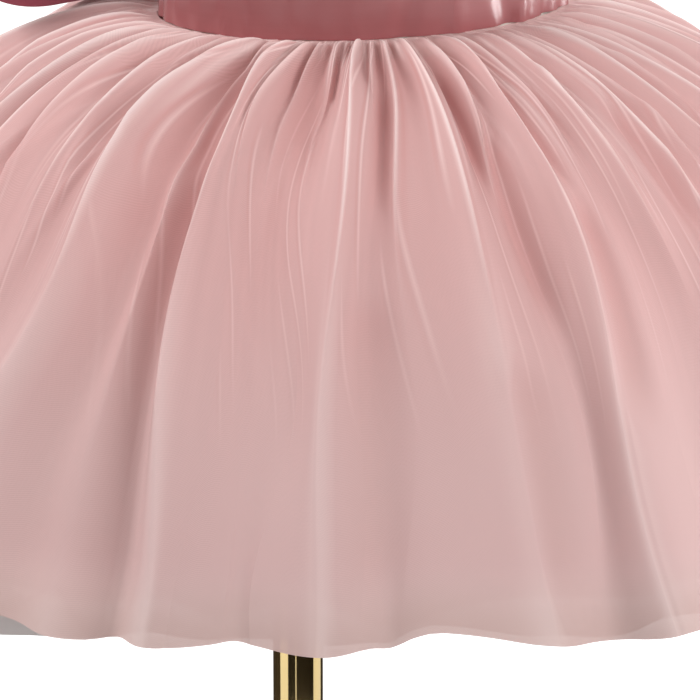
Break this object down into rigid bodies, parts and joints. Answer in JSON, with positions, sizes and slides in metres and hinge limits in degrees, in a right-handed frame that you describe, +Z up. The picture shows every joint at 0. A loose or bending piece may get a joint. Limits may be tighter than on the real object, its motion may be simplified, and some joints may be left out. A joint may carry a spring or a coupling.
{
  "type": "toddler party dress on a limbless dress stand",
  "caption": "Sleeveless toddler party dress with a satin bodice, gathered tulle overskirts, satin underskirt and back bow, worn by a limbless stand on a brass pole and round base.",
  "frame": {"origin": "centre of the base's underside, on the pole's axis", "axes": "+Z up along the pole; the dress faces -Y and its bow is towards +Y; +X is the wearer's left"},
  "size_m": [0.607, 0.5699, 0.6983],
  "materials": {
    "bodice_satin": "glossy dusty rose satin",
    "tulle": "sheer soft pink tulle with a matt sheen",
    "underskirt_satin": "soft pink satin",
    "bow_satin": "deep rose satin",
    "body_cover": "plain pale linen cover",
    "stand_brass": "polished"
  },
  "bodies": {
    "root": {"bodice_front": "bodice_satin", "bodice_back_left": "bodice_satin", "bodice_back_right": "bodice_satin", "overskirt_front": "tulle", "overskirt_back": "tulle", "second_skirt_front": "tulle", "second_skirt_back": "tulle", "underskirt_front": "underskirt_satin", "underskirt_back": "underskirt_satin", "bow_loop_left": "bow_satin", "bow_loop_right": "bow_satin", "bow_band": "bow_satin", "stand_body": "body_cover", "stand_neck_cap": "stand_brass", "stand_pole": "stand_brass", "stand_base": "stand_brass"}
  },
  "joints": []
}
